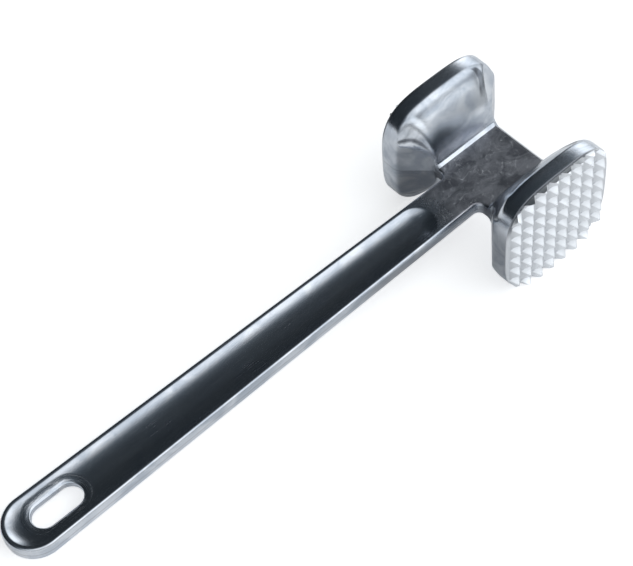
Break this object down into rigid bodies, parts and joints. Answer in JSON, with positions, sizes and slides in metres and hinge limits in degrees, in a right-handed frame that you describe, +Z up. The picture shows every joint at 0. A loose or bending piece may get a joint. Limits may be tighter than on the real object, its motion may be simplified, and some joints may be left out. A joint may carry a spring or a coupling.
{
  "type": "meat mallet",
  "caption": "All-metal meat mallet: dished flat handle with a hanging slot, a short block and a flared toothed head on each side.",
  "frame": {"origin": "on the table, under the middle of the mallet's bounding box, with the mallet lying at rest on its handle's end and its heads' lower edges", "axes": "+X from the handle's end towards the heads, +Y across the heads from the coarse toothed face (-Y) to the fine one (+Y), +Z up from the table; the handle rises 6 degrees towards +X"},
  "size_m": [0.19, 0.053, 0.041],
  "materials": {
    "cast_metal": "polished casting"
  },
  "bodies": {
    "root": {"handle": "cast_metal", "neck_block": "cast_metal", "coarse_head": "cast_metal", "fine_head": "cast_metal"}
  },
  "joints": []
}
